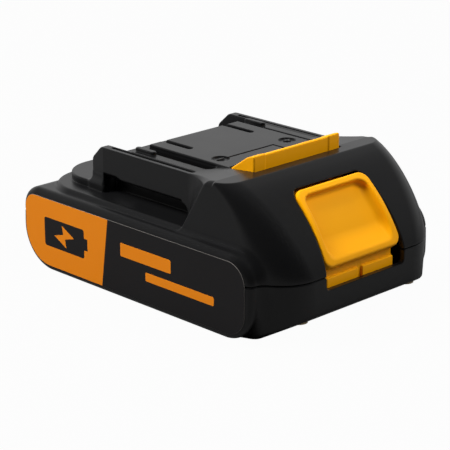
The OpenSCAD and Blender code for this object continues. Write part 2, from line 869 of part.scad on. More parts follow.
sense_resistor();
thermistor();
board_screws();
case_screws();
side_label(-1);  // label_left
side_label(1);  // label_right
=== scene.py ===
"""Looks of the slide-on battery pack: moulded case halves, latch, labels, finishes, light and camera.

The case halves and the latch are modelled as signed distance fields, in millimetres, so that every edge and
corner has the radius of a moulding. A field is below zero inside the plastic.
"""
import json
import math

import bpy
import numpy as np
from mathutils import Matrix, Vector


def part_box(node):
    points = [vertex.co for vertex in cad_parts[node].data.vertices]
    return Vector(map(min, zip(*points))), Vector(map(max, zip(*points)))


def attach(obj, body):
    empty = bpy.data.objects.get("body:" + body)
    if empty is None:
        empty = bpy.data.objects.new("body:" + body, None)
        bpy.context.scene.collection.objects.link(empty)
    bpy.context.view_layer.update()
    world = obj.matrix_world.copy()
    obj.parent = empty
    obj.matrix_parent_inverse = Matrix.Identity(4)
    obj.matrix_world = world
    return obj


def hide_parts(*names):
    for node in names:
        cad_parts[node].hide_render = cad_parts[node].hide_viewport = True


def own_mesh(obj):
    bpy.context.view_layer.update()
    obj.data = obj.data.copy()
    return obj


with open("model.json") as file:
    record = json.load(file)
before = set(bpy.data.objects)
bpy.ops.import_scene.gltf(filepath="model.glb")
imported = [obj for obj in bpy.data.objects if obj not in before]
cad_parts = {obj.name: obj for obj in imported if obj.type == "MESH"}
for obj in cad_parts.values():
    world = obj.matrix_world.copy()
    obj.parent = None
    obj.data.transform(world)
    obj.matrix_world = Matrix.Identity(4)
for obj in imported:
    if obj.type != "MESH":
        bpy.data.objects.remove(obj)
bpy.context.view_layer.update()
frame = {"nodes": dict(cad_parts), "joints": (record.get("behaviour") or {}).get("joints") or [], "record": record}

MM = 0.001


def box_mm(node):
    """Lowest and highest corner of a CAD node, in millimetres."""
    low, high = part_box(node)
    return [v / MM for v in low], [v / MM for v in high]


# Sizes in millimetres, from the frame where a node shows them
(BAY_X0, _, _), (FRONT_X, CASE_Y, SPLIT_Z) = box_mm("lower_case")
BROW_Z = box_mm("upper_case")[1][2]
(BAR_X0, _, SKIRT_Z0), (SLOPE_X1, FLANGE_Y, BAR_Z) = box_mm("release_latch")
(BOSS_X0, _, HEAD_Z0), (BOSS_X1, BOSS_Y1, _) = box_mm("case_screws")
HEAD_D = BOSS_X1 - BOSS_X0
BOSS_X = (BOSS_X0 + BOSS_X1) / 2
BOSS_Y = BOSS_Y1 - HEAD_D / 2
HEAD_H = 1.8
SPRING_LOW, SPRING_HIGH = box_mm("latch_spring_right")
SPRING_X = (SPRING_LOW[0] + SPRING_HIGH[0]) / 2
SPRING_Y = (SPRING_LOW[1] + SPRING_HIGH[1]) / 2
TRAVEL = frame["joints"][0]["range_m"][1] / MM

# Walls, the joint of the case halves, and the edge radii of the mouldings
WALL = 1.8
SEAM_GAP, SEAM_EDGE = 0.12, 0.35
CRISP, FINE, LIGHT, SOFT, FULL = 0.15, 0.2, 0.3, 0.4, 0.5

# How far a solid reaches into its neighbour, and a cut past what it cuts
OVERLAP = 1.0

# Cell bay
FRONT_REACH = 8.3
BAY_X1 = FRONT_X - FRONT_REACH
BAY_H = 24.6
RIM_R, RIM_TOP_R = 2.0, 2.5
REAR_TOP_R = 6.3
REAR_LOW_R = 12.5
FRONT_TOP_R = 8.3
FRONT_LOW_R = 10.3
ROOM_R = 9.35

# Deck plates and rail tower
DECK_Z = BAY_H + 1.4
STEP_Z = DECK_Z + 2.2
DECK_X0, DECK_Y, DECK_R = BAY_X0 + 3.7, 33.25, 14.0
DECK_EDGE, DECK_FILLET = 1.1, 1.0
STEP_X0, STEP_R = BAY_X0 + 4.8, 12.0
RAIL_Y = 27.5
RAIL_T = 3.3
CORE_Y = RAIL_Y - 4.5
GROOVE_Z = DECK_Z + 4.4
RAIL_Z = GROOVE_Z + 9.0
REAR_Z = 31.15
PLATEAU_Z = RAIL_Z + 1.0
RAIL_X0 = BAY_X0 + 21.2
RAIL_X1 = RAIL_X0 + 41.4
GROOVE_X0 = RAIL_X0 + 5.8
PLATEAU_X0 = RAIL_X0 + 15.1
HEAD_LAP = 0.6
NOSE_RUN, NOSE_DROP, NOSE_EDGE = 4.6, 4.1, 0.8
FOOT_R = 2.2
RAIL_BEVEL = 0.8
MOUTH_BEVEL = 1.5
MOUTH_L = 8.0
MOUTH_RUN = 2.8
NOSE_TAPER = 0.14
GROOVE_END_R = 2.4

# Contact slots and marks
POWER_Y, POWER_W = 19.5, 3.0
SIGNAL_Y, SIGNAL_W, SIGNAL_L = 12.3, 1.8, 12.0
POWER_X1 = RAIL_X1 + 2.4
SCORE_X0 = GROOVE_X0 + 2
SLOT_Z0, SLOT_FLAT = REAR_Z + 0.2, 0.1
CUT_Z1 = BROW_Z + 2
PLATEAU_Y = POWER_Y - POWER_W / 2
SCORE_Y, SCORE_W, SCORE_DEPTH = RAIL_Y - 2.0, 0.9, 1.2
RIB_X, RIB_W, RIB_L = PLATEAU_X0 + 3.3, 2.0, 8.0
MARK_X, MARK_Y, MARK_D, MARK_DEPTH = RAIL_X1 - 1.3, 13.4, 5.0, 0.45
SIGN_W, SIGN_L = 0.7, 2.7
LINE_X, LINE_W, LINE_EDGE = RAIL_X1 - 1.0, 0.5, 0.12
LINE_Y0, LINE_Y1 = -11.3, 7.3

# Latch housing: hood above the joint, block with a chin below it
FRONT_Y, FRONT_R, FRONT_DRAFT = 33.25, 13.0, 1.2
BROW_Y, BROW_R = 32.05, 6.0
FULLNESS, LEVEL = 1.4, 0.96
CREASE_X = BAY_X1 - 19.1
CREASE_LOW_X, CREASE_TOP_X = RAIL_X1 + 2.55, CREASE_X - 2.3
BROW_X1 = CREASE_X + 4.5
CHIN_H, CHIN_RUN, CHIN_EDGE, FLOOR_EDGE = 6.4, 11.5, 1.0, 0.8
POCKET_Z = CHIN_H + 0.8
NECK_R = 2.0
CREASE_EDGE = 0.25
SHOULDER_R, SHOULDER_FADE = 1.8, 0.8

# Latch and its window
LATCH_CLEAR = 0.35
BUTTON_W = 28.2
WINDOW_Z0 = SPLIT_Z - 3.9
WINDOW_Z1 = BROW_Z - 3.8
WINDOW_LOW_Y = BUTTON_W / 2 + 1.8
WINDOW_TOP_Y = BUTTON_W / 2 + LATCH_CLEAR
WINDOW_TOP_R, WINDOW_LOW_R, WINDOW_EDGE = 2.9, 1.6, 0.25
BAR_W = 2 * (FLANGE_Y - 2.0)
BAR_X1 = BAR_X0 + 9.0
BAR_CROWN, BAR_TOE = 1.4, 0.2
CREST_R, FACE_R = 1.6, 0.7
LUG_W, LUG_STEP = 4.6, 0.3
FLANGE_T = 2.2
FLANGE_Z1 = RAIL_Z - WALL
SHELF_T, SHELF_Y = 3.0, 12.0
BUTTON_RUN = 13.8
SLOPE_X0 = SLOPE_X1 - BUTTON_RUN
SLOPE_Z0 = WINDOW_Z1 - LATCH_CLEAR
RIM_W = 2.0
SLOPE_Z1 = WINDOW_Z0 + TRAVEL + RIM_W
SLOPE_A = math.atan2(SLOPE_Z0 - SLOPE_Z1, BUTTON_RUN)
SLOPE_L = math.hypot(SLOPE_Z0 - SLOPE_Z1, BUTTON_RUN)
TRAY_D = 1.8
BUTTON_T = TRAY_D + 1.4
BUTTON_R, BUTTON_EDGE = 2.9, 0.6
BUTTON_CROWN, BUTTON_LIFT, BUTTON_FLARE = 1.4, 0.6, 1.3
DISH_RIM, DISH_D, DISH_R, DISH_TOP_R = 1.9, 2.6, 2.6, 1.3
DISH_Y = BUTTON_W / 2 - DISH_RIM
DISH_RAMP, DISH_RUN_OUT = (0.62, 1.05), 0.4
COVE_START, COVE_END = DISH_RIM + 1, DISH_RIM + 2 * DISH_R
SKIRT_X0 = BAY_X1 + LATCH_CLEAR
SKIRT_X1 = FRONT_X - WALL - LATCH_CLEAR
SKIRT_Y = BUTTON_W / 2 - 0.5
SKIRT_LAP = 0.7
LEDGE_GAP, LEDGE_D, LEDGE_Z1, LEDGE_EDGE = 1.6, 0.8, WINDOW_Z0 + 2.4, 0.25
SPRING_Z1 = SKIRT_Z0 + 3.3
BOSS_D = 6.2
WELL_D = 5.55
PEG_D, PEG_H = 2.65, 1.5
SCREW_D, SCREW_REACH, HEAD_CLEAR = 3.1, 5.0, 0.6

# Steps of the fields, fine enough for the marks on the plateau, and the shares of the faces that are kept
CASE_STEP, UPPER_KEEP, LOWER_KEEP = 0.27, 0.17, 0.24
LATCH_STEP, LATCH_KEEP = 0.25, 0.4


# Signed distance fields

def length(a, b):
    """Length of a vector with two parts."""
    return np.sqrt(a * a + b * b)


def meet(a, b, r):
    """What lies in both a and b, with the edge between them rounded by r."""
    return np.minimum(-r, np.maximum(a, b)) + length(np.maximum(r + a, 0), np.maximum(r + b, 0))


def cut(a, b, r):
    """a without b, with the edges of the opening rounded by r."""
    return meet(a, -b, r)


def join(a, b, r):
    """a and b together, with the corner between them filled by a fillet of radius r."""
    return np.maximum(r, np.minimum(a, b)) - length(np.maximum(r - a, 0), np.maximum(r - b, 0))


def rounded(u, v, half_u, half_v, r):
    """Rectangle about the origin of u and v, with corners of radius r."""
    u, v = np.abs(u) - half_u + r, np.abs(v) - half_v + r
    return length(np.maximum(u, 0), np.maximum(v, 0)) + np.minimum(np.maximum(u, v), 0) - r


def between(u, low, high):
    """Slab from low to high."""
    return np.abs(u - (low + high) / 2) - (high - low) / 2


def line(u, v, start, end):
    """Half plane to the right of the line from start to end."""
    du, dv = end[0] - start[0], end[1] - start[1]
    return ((v - start[1]) * du - (u - start[0]) * dv) / math.hypot(du, dv)


class Grid:
    """Points on which a field is held, as sparse x, y and z arrays."""

    def __init__(self, low, high, step):
        self.step = step
        axes = [np.arange(a - 3 * step, b + 3.5 * step, step, dtype=np.float32) for a, b in zip(low, high)]
        self.low = np.array([a[0] for a in axes])
        self.x, self.y, self.z = np.meshgrid(*axes, indexing="ij", sparse=True)
        self.side = np.abs(self.y)

    def near(self, field, low, high):
        """The part of the field around a box, and a grid for it."""
        part = Grid.__new__(Grid)
        window = []
        for axis, values in enumerate((self.x, self.y, self.z)):
            flat = values.ravel()
            margin = 4 * self.step
            window.append(slice(*np.searchsorted(flat, (low[axis] - margin, high[axis] + margin))))
        part.step = self.step
        part.x, part.y, part.z = self.x[window[0]], self.y[:, window[1]], self.z[:, :, window[2]]
        part.side = np.abs(part.y)
        return field[tuple(window)], part


def block(g, low, high, r):
    """Box with every edge rounded by r."""
    flat = rounded(g.x - (low[0] + high[0]) / 2, g.y - (low[1] + high[1]) / 2,
                   (high[0] - low[0]) / 2, (high[1] - low[1]) / 2, r)
    return meet(flat, between(g.z, low[2], high[2]), r)


def sink(g, field, low, high, corner, edge):
    """Cuts an upright pocket into the field, with its plan corners and its rim rounded."""
    part, p = g.near(field, low, high)
    flat = rounded(p.x - (low[0] + high[0]) / 2, p.y - (low[1] + high[1]) / 2,
                   (high[0] - low[0]) / 2, (high[1] - low[1]) / 2, corner)
    part[...] = cut(part, meet(flat, between(p.z, low[2], high[2]), edge), edge)


def bay_outline(x, z):
    """Side outline of the cell bay, with its four corner radii."""
    mid_x, mid_z = (BAY_X0 + BAY_X1) / 2, BAY_H / 2
    r = np.where(x < mid_x, np.where(z < mid_z, REAR_LOW_R, REAR_TOP_R),
                 np.where(z < mid_z, FRONT_LOW_R, FRONT_TOP_R)).astype(np.float32)
    return rounded(x - mid_x, z - mid_z, (BAY_X1 - BAY_X0) / 2, BAY_H / 2, r)


def smooth(u, start, end):
    """Eases from 0 at start to 1 at end."""
    t = np.clip((u - start) / (end - start), 0, 1)
    return t * t * (3 - 2 * t)


def bay(g):
    """Cell bay, with a rim that is rounder at its top."""
    rim = RIM_R + (RIM_TOP_R - RIM_R) * smooth(g.z, BAY_H / 2, BAY_H - FRONT_TOP_R / 2)
    return meet(bay_outline(g.x, g.z), g.side - CASE_Y, rim)


def bay_room(g):
    """Room for the cells inside the bay."""
    outline = rounded(g.x - (BAY_X0 + BAY_X1) / 2, g.z - BAY_H / 2,
                      (BAY_X1 - BAY_X0) / 2 - WALL, BAY_H / 2 - WALL, ROOM_R)
    return np.maximum(outline, g.side - CASE_Y + WALL)


def plan_end(along, across, r):
    """Plan with rounded corners where two straight edges meet, from the distances to both edges."""
    a, b = along + r, across + r
    return length(np.maximum(a, 0), np.maximum(b, 0)) + np.minimum(np.maximum(a, b), 0) - r


def upright(g, plan):
    """Corrects a field made of plan outlines for the slope that its outlines have from height to height."""
    slope = np.gradient(plan, g.step, axis=2)
    return plan / np.sqrt(1 + slope * slope)


def front_reach(t):
    """Where the hood's front lies at a share of its height: full and round, with a crisp brow."""
    low = np.minimum(t, LEVEL)
    slope = LEVEL ** (FULLNESS - 1) * (1 - LEVEL ** FULLNESS) ** (1 / FULLNESS - 1)
    reach = (1 - low ** FULLNESS) ** (1 / FULLNESS) - slope * (t - low)
    return BROW_X1 + (FRONT_X - BROW_X1) * reach


def hood(g):
    """Hood over the latch: full round front, flat brow, and shoulders that curve out of the rails."""
    t = np.clip((g.z - SPLIT_Z) / (BROW_Z - SPLIT_Z), 0, 1)
    half_y = FRONT_Y + (BROW_Y - FRONT_Y) * t
    corner = FRONT_R + (BROW_R - FRONT_R) * t
    field = upright(g, plan_end(g.x - front_reach(t), g.side - half_y, corner))
    rise = np.clip((g.z - BAY_H) / (BROW_Z - BAY_H), 0, 1)
    run_x = CREASE_LOW_X + (CREASE_TOP_X - CREASE_LOW_X) * rise - RAIL_X1
    run_y = half_y - RAIL_Y
    u = np.maximum(0, g.x - RAIL_X1) / run_x
    bend = 2 * run_y * u / run_x
    shoulder = (g.side - RAIL_Y - run_y * u * u) / np.sqrt(1 + bend * bend)
    field = np.maximum(meet(field, shoulder, CREASE_EDGE), RAIL_X1 - g.x)
    pitch = line(g.x, g.z, (RAIL_X1, RAIL_Z), (CREASE_X, BROW_Z))
    soft = np.clip((g.x - RAIL_X1) / (CREASE_X - RAIL_X1), 0, 1)
    soft = soft * np.clip((CREASE_X + SHOULDER_FADE - g.x) / SHOULDER_FADE, 0, 1)
    edge = CREASE_EDGE + (SHOULDER_R - CREASE_EDGE) * soft
    return meet(field, np.maximum(pitch, g.z - BROW_Z), edge)


def housing_block(g):
    """Front of the lower case, drawn in towards its bottom, with a flat chin that slopes up."""
    half_y = FRONT_Y - FRONT_DRAFT * (1 - g.z / SPLIT_Z)
    walls = plan_end(g.x - FRONT_X, g.side - half_y, FRONT_R)
    chin = line(g.x, -g.z, (FRONT_X - CHIN_RUN, 0), (FRONT_X, -CHIN_H))
    return meet(meet(walls, chin, CHIN_EDGE), -g.z, FLOOR_EDGE)


def window(g, x0):
    """Opening in front of the thumb button, wider at the joint between the case halves."""
    flare = WINDOW_LOW_Y - WINDOW_TOP_Y
    rise = np.clip((g.z - SPLIT_Z) / (WINDOW_Z1 - SPLIT_Z), 0, 1)
    sides = g.side - WINDOW_LOW_Y + flare * rise
    corner = np.where(g.z < SPLIT_Z, WINDOW_LOW_R, WINDOW_TOP_R)
    outline = meet(sides, between(g.z, WINDOW_Z0, WINDOW_Z1), corner)
    return np.maximum(outline, x0 - g.x)


def post(g, x, y, d):
    """Upright cylinder on both sides of the mid plane."""
    return length(g.x - x, g.side - y) - d / 2


def rail_side(g):
    """Outer side of the rails, drawn in behind the grooves."""
    return g.side - RAIL_Y + NOSE_TAPER * np.maximum(0, GROOVE_X0 - g.x)


def rails(g):
    """Both rails with their chamfered noses, down to the deck behind the grooves."""
    top = meet(rail_side(g), g.z - RAIL_Z, LIGHT)
    top = meet(top, RAIL_Y - RAIL_T - g.side, SOFT)
    nose = line(g.x, g.z, (RAIL_X0, RAIL_Z - NOSE_DROP), (RAIL_X0 + NOSE_RUN, RAIL_Z))
    rear = meet(RAIL_X0 - g.x, nose, NOSE_EDGE)
    bar = np.maximum(meet(top, rear, SOFT), g.x - RAIL_X1 - WALL)
    mouth = np.clip((GROOVE_X0 + MOUTH_L - g.x) / MOUTH_RUN, 0, 1)
    bevel = RAIL_BEVEL + (MOUTH_BEVEL - RAIL_BEVEL) * mouth * mouth * (3 - 2 * mouth)
    under = meet(GROOVE_Z - g.z, (g.side - RAIL_Y + GROOVE_Z - g.z + bevel) / math.sqrt(2), FINE)
    over_groove = meet(bar, under, FINE)
    behind_groove = meet(bar, g.x - GROOVE_X0, FINE)
    return np.minimum(over_groove, behind_groove)


def deck(g):
    """Lower deck plate, on the cell bay."""
    plan = plan_end(DECK_X0 - g.x, g.side - DECK_Y, DECK_R)
    return meet(np.maximum(plan, g.x - CREASE_LOW_X - OVERLAP), g.z - DECK_Z, DECK_EDGE)


def groove_heel(g):
    """Rounded corner at the front end of the grooves, under the rails."""
    x0, z0 = RAIL_X1 - GROOVE_END_R, GROOVE_Z - GROOVE_END_R
    corner = np.maximum(GROOVE_END_R - length(g.x - x0, g.z - z0), np.maximum(x0 - g.x, z0 - g.z))
    ends = np.maximum(g.x - RAIL_X1 - WALL, g.z - GROOVE_Z - OVERLAP)
    return np.maximum(np.maximum(corner, ends), between(g.side, CORE_Y - OVERLAP, RAIL_Y))


def tower(g):
    """Upper deck plate, rail tower and contact plateau as one solid."""
    step = plan_end(STEP_X0 - g.x, g.side - RAIL_Y, STEP_R)
    field = meet(meet(step, g.x - GROOVE_X0, FINE), g.z - STEP_Z, SOFT)
    foot = meet(meet(rail_side(g), between(g.x, RAIL_X0, GROOVE_X0), FINE), g.z - REAR_Z, LIGHT)
    field = join(field, foot, FOOT_R)
    core = meet(g.side - CORE_Y, between(g.x, RAIL_X0 + OVERLAP, RAIL_X1 + WALL), LIGHT)
    field = np.minimum(field, meet(core, g.z - REAR_Z, LIGHT))
    field = np.minimum(join(field, rails(g), SOFT), groove_heel(g))
    head = meet(g.side - RAIL_Y + RAIL_T - HEAD_LAP, between(g.x, PLATEAU_X0, RAIL_X1 + WALL), FULL)
    head = meet(head, g.z - RAIL_Z, SOFT)
    field = join(field, np.maximum(head, GROOVE_Z - g.z), FULL)
    plateau = meet(g.side - PLATEAU_Y, between(g.x, PLATEAU_X0, CREASE_X), FULL)
    plateau = meet(plateau, g.z - PLATEAU_Z, SOFT)
    field = np.minimum(field, np.maximum(plateau, GROOVE_Z - g.z))
    rib_y = POWER_Y + POWER_W / 2 + RIB_W / 2
    rib = rounded(g.x - RIB_X, g.side - rib_y, RIB_L / 2, RIB_W / 2, RIB_W / 2)
    return join(field, meet(rib, between(g.z, GROOVE_Z, PLATEAU_Z), SOFT), LIGHT)


def cut_mark(g, field, side):
    """Round polarity mark on the plateau, with a minus or a plus left standing in it."""
    y = side * MARK_Y
    low = (MARK_X - MARK_D, y - MARK_D, PLATEAU_Z - OVERLAP)
    part, p = g.near(field, low, (MARK_X + MARK_D, y + MARK_D, PLATEAU_Z + OVERLAP))
    disc = length(p.x - MARK_X, p.y - y) - MARK_D / 2
    sign = rounded(p.x - MARK_X, p.y - y, SIGN_W / 2, SIGN_L / 2, FINE)
    if side > 0:
        sign = np.minimum(sign, rounded(p.x - MARK_X, p.y - y, SIGN_L / 2, SIGN_W / 2, FINE))
    disc = meet(disc, -sign, CRISP)
    part[...] = cut(part, np.maximum(disc, PLATEAU_Z - MARK_DEPTH - p.z), CRISP)


def cut_contacts(g, field):
    """Contact slots, score lines, polarity marks and the thin line on the plateau."""
    slots = (POWER_Y, POWER_W, POWER_X1), (SIGNAL_Y, SIGNAL_W, PLATEAU_X0 + SIGNAL_L)
    for side in (-1, 1):
        for y, w, x1 in slots:
            low = (PLATEAU_X0 - w, side * y - w / 2, SLOT_Z0)
            sink(g, field, low, (x1, side * y + w / 2, CUT_Z1), w / 2 - SLOT_FLAT, LIGHT)
        low = (SCORE_X0, side * SCORE_Y - SCORE_W / 2, RAIL_Z - SCORE_DEPTH)
        high = (RAIL_X1 + SCORE_W, side * SCORE_Y + SCORE_W / 2, CUT_Z1)
        sink(g, field, low, high, SCORE_W / 2, CRISP)
        cut_mark(g, field, side)
    line_z0 = PLATEAU_Z - LINE_W
    sink(g, field, (LINE_X, LINE_Y0, line_z0), (LINE_X + LINE_W, LINE_Y1, BROW_Z), FINE, LINE_EDGE)
    sink(g, field, (LINE_X, LINE_Y1 - LINE_W, line_z0), (BAR_X0, LINE_Y1, BROW_Z), FINE, LINE_EDGE)


def upper_case_field(g):
    """Upper case half: bay, deck plates, rail tower and the hollow hood."""
    hooded = hood(g)
    hollow = np.maximum(hooded + WALL, RAIL_X1 + WALL - g.x)
    shell = np.maximum(hooded, -hollow)
    shell = cut(shell, window(g, BROW_X1), WINDOW_EDGE)
    body = bay(g)
    field = np.minimum(join(body, shell, NECK_R), join(body, deck(g), DECK_FILLET))
    field = np.minimum(field, tower(g))
    opening = rounded(g.x - (BAR_X0 + BAR_X1) / 2, g.y, (BAR_X1 - BAR_X0) / 2 + LATCH_CLEAR,
                      BAR_W / 2 + LATCH_CLEAR, FULL)
    pillar = np.maximum(post(g, BOSS_X, BOSS_Y, BOSS_D), hooded)
    field = np.minimum(field, pillar)
    flange_low_z = FLANGE_Z1 - FLANGE_T - TRAVEL - OVERLAP
    field = cut(field, np.maximum(opening, flange_low_z - g.z), LIGHT)
    field = np.maximum(field, -bay_room(g))
    for x0, top in ((RAIL_X0, REAR_Z), (PLATEAU_X0, RAIL_Z)):
        room = np.maximum(g.side - CORE_Y + WALL, between(g.x, x0 + WALL, CREASE_X - WALL))
        field = np.maximum(field, -np.maximum(room, between(g.z, BAY_H - 2 * WALL, top - WALL)))
    field = np.maximum(field, -np.maximum(post(g, BOSS_X, BOSS_Y, SCREW_D), g.z - SPLIT_Z - SCREW_REACH))
    cut_contacts(g, field)
    return meet(field, SPLIT_Z + SEAM_GAP / 2 - g.z, SEAM_EDGE)


def lower_case_field(g):
    """Lower case half: bay, and the front of the latch housing with its pocket, posts and spring pegs."""
    front = np.maximum(housing_block(g), BAY_X1 - 2 * FRONT_R - g.x)
    field = join(front, bay(g), NECK_R)
    pocket = plan_end(g.x - FRONT_X + WALL, g.side - FRONT_Y + WALL, FRONT_R - WALL)
    field = np.maximum(field, -np.maximum(np.maximum(pocket, POCKET_Z - g.z), BAY_X1 - g.x))
    pillar = np.maximum(post(g, BOSS_X, BOSS_Y, BOSS_D), POCKET_Z - OVERLAP - g.z)
    peg_span = between(g.z, POCKET_Z - OVERLAP, POCKET_Z + PEG_H)
    peg = np.maximum(post(g, SPRING_X, SPRING_Y, PEG_D), peg_span)
    field = np.minimum(field, np.minimum(pillar, peg))
    field = np.maximum(field, -bay_room(g))
    field = cut(field, window(g, BAY_X1), WINDOW_EDGE)
    field = np.maximum(field, -post(g, BOSS_X, BOSS_Y, SCREW_D))
    head = np.maximum(post(g, BOSS_X, BOSS_Y, HEAD_D + HEAD_CLEAR), g.z - HEAD_Z0 - HEAD_H)
    field = cut(field, head, LIGHT)
    return meet(field, g.z - SPLIT_Z + SEAM_GAP / 2, SEAM_EDGE)


def latch_wedge(g, half_y, face_x, top_z, low_z, r):
    """Locking bar between two planes of y: a ramp up to a rounded crown, and an upright locking face."""
    ramp = line(g.x, g.z, (BAR_X0, PLATEAU_Z - BAR_TOE), (face_x - BAR_CROWN, top_z))
    crest = meet(meet(ramp, g.z - top_z, CREST_R), g.x - face_x, FACE_R)
    profile = meet(meet(crest, BAR_X0 - g.x, LIGHT), low_z - g.z, LIGHT)
    return meet(profile, half_y, r)


def locking_bar(g, face_x, shelf_z0, shelf_z1):
    """Locking bar with a raised lug at each end, and the flange that keeps it in the case."""
    field = latch_wedge(g, g.side - BAR_W / 2, face_x, BAR_Z - LUG_STEP, shelf_z0, FULL)
    lug_half = between(g.side, BAR_W / 2 - LUG_W, BAR_W / 2)
    field = np.minimum(field, latch_wedge(g, lug_half, BAR_X1, BAR_Z, shelf_z1, SOFT))
    flange = block(g, (BAR_X0, -FLANGE_Y, shelf_z1), (face_x, FLANGE_Y, FLANGE_Z1), SOFT)
    return join(field, flange, LIGHT)


def button_face(g):
    """Distance down the button's slope, and distance out of its crowned face."""
    down = (g.x - SLOPE_X0) * math.cos(SLOPE_A) - (g.z - SLOPE_Z0) * math.sin(SLOPE_A)
    out = (g.x - SLOPE_X0) * math.sin(SLOPE_A) + (g.z - SLOPE_Z0) * math.cos(SLOPE_A)
    crown = BUTTON_CROWN * (1 - (2 * down / SLOPE_L - 1) ** 2)
    return down, out - crown - BUTTON_LIFT * (1 - down / SLOPE_L)


def button(g, down, out):
    """Thumb button that widens downwards, with a dish that runs out towards its lower edge."""
    across = g.side - BUTTON_FLARE * np.clip(down / SLOPE_L, 0, 1)
    plan = rounded(down - SLOPE_L / 2, across, SLOPE_L / 2 + LATCH_CLEAR / 2, BUTTON_W / 2, BUTTON_R)
    plate = meet(plan, between(out, -BUTTON_T - BUTTON_CROWN, 0), BUTTON_EDGE)
    dish = rounded(down - (SLOPE_L + DISH_RIM) / 2, across, (SLOPE_L - DISH_RIM) / 2, DISH_Y, BUTTON_R)
    depth = DISH_D - (DISH_D + DISH_RUN_OUT) * smooth(down / SLOPE_L, *DISH_RAMP)
    cove = DISH_TOP_R + (DISH_R - DISH_TOP_R) * smooth(down, COVE_START, COVE_END)
    return cut(plate, meet(dish, -depth - out, cove), FULL)


def skirt(g, out):
    """Skirt under the button: hollow, with two ledges in front, and wells and pegs for the springs."""
    field = meet(g.side - SKIRT_Y, between(g.x, SKIRT_X0, SKIRT_X1), SOFT)
    field = meet(meet(field, SKIRT_Z0 - g.z, SOFT), out + TRAY_D + SKIRT_LAP, FINE)
    hollow = np.maximum(g.x - SKIRT_X1 + RIM_W, g.side - SKIRT_Y + RIM_W)
    field = np.maximum(field, -np.maximum(hollow, SPRING_Z1 + RIM_W - g.z))
    front = SKIRT_X1 - LEDGE_D - g.x
    field = cut(field, np.maximum(front, LEDGE_Z1 - g.z), LEDGE_EDGE)
    gap = np.maximum(g.side - LEDGE_GAP / 2, front)
    field = cut(field, np.maximum(gap, g.z - LEDGE_Z1 - OVERLAP), LEDGE_EDGE)
    well = np.maximum(post(g, SPRING_X, SPRING_Y, WELL_D), g.z - SPRING_Z1)
    peg_span = between(g.z, SPRING_Z1 - PEG_H, SPRING_Z1 + OVERLAP)
    peg = np.maximum(post(g, SPRING_X, SPRING_Y, PEG_D), peg_span)
    return np.minimum(np.maximum(field, -well), peg)


def latch_field(g):
    """Release latch: locking bar, shelf, thumb button and skirt as one solid."""
    shelf_z1 = FLANGE_Z1 - FLANGE_T
    shelf_z0 = shelf_z1 - SHELF_T
    face_x = BAR_X1 - LUG_STEP
    shelf_x1 = (SLOPE_X0 + (SLOPE_Z0 - shelf_z1) / math.tan(SLOPE_A)
                - (TRAY_D + LATCH_CLEAR) / math.sin(SLOPE_A))
    shelf = block(g, (face_x - SHELF_T, -SHELF_Y, shelf_z0), (shelf_x1, SHELF_Y, shelf_z1), SOFT)
    field = join(locking_bar(g, face_x, shelf_z0, shelf_z1), shelf, FULL)
    down, out = button_face(g)
    field = join(field, button(g, down, out), FULL)
    return np.minimum(field, skirt(g, out))


# Surfaces of the fields

def sample(g, field, points):
    """Values of the field at points, by linear interpolation."""
    at = (points - g.low) / g.step
    cell = np.clip(at.astype(np.int64), 0, np.array(field.shape) - 2)
    part = at - cell
    total = np.zeros(len(points))
    for corner in np.ndindex(2, 2, 2):
        weight = np.ones(len(points))
        for axis in range(3):
            weight *= part[:, axis] if corner[axis] else 1 - part[:, axis]
        i, j, k = (cell + corner).T
        total += weight * field[i, j, k]
    return total


def gradient(g, field, points):
    """Slope of the field at points."""
    slopes = []
    for axis in range(3):
        shift = np.zeros(3)
        shift[axis] = g.step / 2
        slopes.append((sample(g, field, points + shift) - sample(g, field, points - shift)) / g.step)
    return np.stack(slopes, axis=1)


def settle(g, field, points, rounds):
    """Moves points onto the surface of the field, never further than half a cell a round."""
    for _ in range(rounds):
        slope = gradient(g, field, points)
        size = np.maximum((slope * slope).sum(axis=1, keepdims=True), 0.05)
        move = sample(g, field, points)[:, None] * slope / size
        reach = np.linalg.norm(move, axis=1, keepdims=True)
        points = points - move * np.minimum(1, g.step / 2 / np.maximum(reach, 1e-9))
    return points


def surface(g, field):
    """Closed mesh of the field: one point in each cell that the surface crosses, joined over grid edges."""
    inside = field < 0
    cells = tuple(n - 1 for n in field.shape)
    count = np.zeros(cells, np.uint8)
    for i, j, k in np.ndindex(2, 2, 2):
        count += inside[i:i + cells[0], j:j + cells[1], k:k + cells[2]]
    at = np.argwhere((count > 0) & (count < 8))
    number = np.full(cells, -1, np.int32)
    number[tuple(at.T)] = np.arange(len(at))
    total = np.zeros((len(at), 3))
    crossings = np.zeros((len(at), 1))
    for axis in range(3):
        step = np.eye(3, dtype=int)[axis]
        for corner in np.ndindex(2, 2, 2):
            if corner[axis]:
                continue
            a = field[tuple((at + corner).T)].astype(float)
            b = field[tuple((at + corner + step).T)].astype(float)
            crossed = (a < 0) != (b < 0)
            t = np.where(crossed, a / np.where(crossed, a - b, 1), 0)
            total += crossed[:, None] * (corner + t[:, None] * step)
            crossings += crossed[:, None]
    points = g.low + (at + total / crossings) * g.step
    faces = []
    for axis in range(3):
        u, v = np.eye(3, dtype=int)[(axis + 1) % 3], np.eye(3, dtype=int)[(axis + 2) % 3]
        low = [slice(None)] * 3
        high = [slice(None)] * 3
        low[axis], high[axis] = slice(None, -1), slice(1, None)
        first, last = inside[tuple(low)], inside[tuple(high)]
        for leaves in (True, False):
            edge = np.argwhere((first & ~last) if leaves else (~first & last))
            ring = [edge - u - v, edge - v, edge, edge - u]
            quad = np.stack([number[tuple(c.T)] for c in ring], axis=1)
            faces.append(quad if leaves else quad[:, ::-1])
    return settle(g, field, points, 3), np.concatenate(faces)


